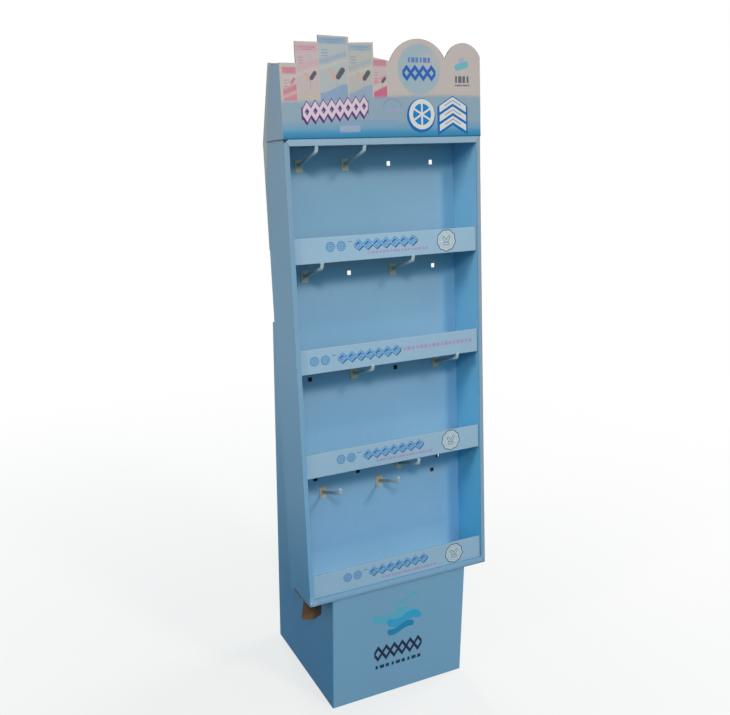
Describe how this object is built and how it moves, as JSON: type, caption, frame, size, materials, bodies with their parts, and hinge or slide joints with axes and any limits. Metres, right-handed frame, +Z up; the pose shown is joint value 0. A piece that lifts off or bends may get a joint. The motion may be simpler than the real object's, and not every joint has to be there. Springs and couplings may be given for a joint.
{
  "type": "cardboard display stand",
  "caption": "Floor display stand of folded corrugated board: a leaning open tray with shelves and plug-in hooks on a boxed base, with a die-cut header.",
  "frame": {"origin": "on the floor under the middle of the stand's box", "axes": "+Z up, +Y to the back of the stand, +X to the right as seen from the front"},
  "size_m": [0.504, 0.37, 1.6064],
  "materials": {
    "blue_board": "printed light blue, satin varnish",
    "rail_board": null,
    "header_print": "printed white over a blue band, satin varnish",
    "grey_board": "unprinted grey liner",
    "kraft_board": "unprinted brown liner",
    "hook_plastic": "natural moulded plastic"
  },
  "bodies": {
    "root": {"base_body": "blue_board", "base_seat": "kraft_board", "base_floor": "kraft_board", "brace_long": "kraft_board", "brace_cross": "kraft_board", "tray_shell": "blue_board", "peg_panel": "blue_board", "shelf_1": "rail_board", "shelf_2": "rail_board", "shelf_3": "rail_board", "shelf_4": "rail_board", "header_card": "header_print", "header_back": "grey_board", "hook_locks": "hook_plastic", "hook_1": "hook_plastic", "hook_2": "hook_plastic", "hook_3": "hook_plastic", "hook_4": "hook_plastic", "hook_5": "hook_plastic", "hook_6": "hook_plastic", "hook_7": "hook_plastic", "hook_8": "hook_plastic", "hook_9": "hook_plastic"}
  },
  "joints": []
}
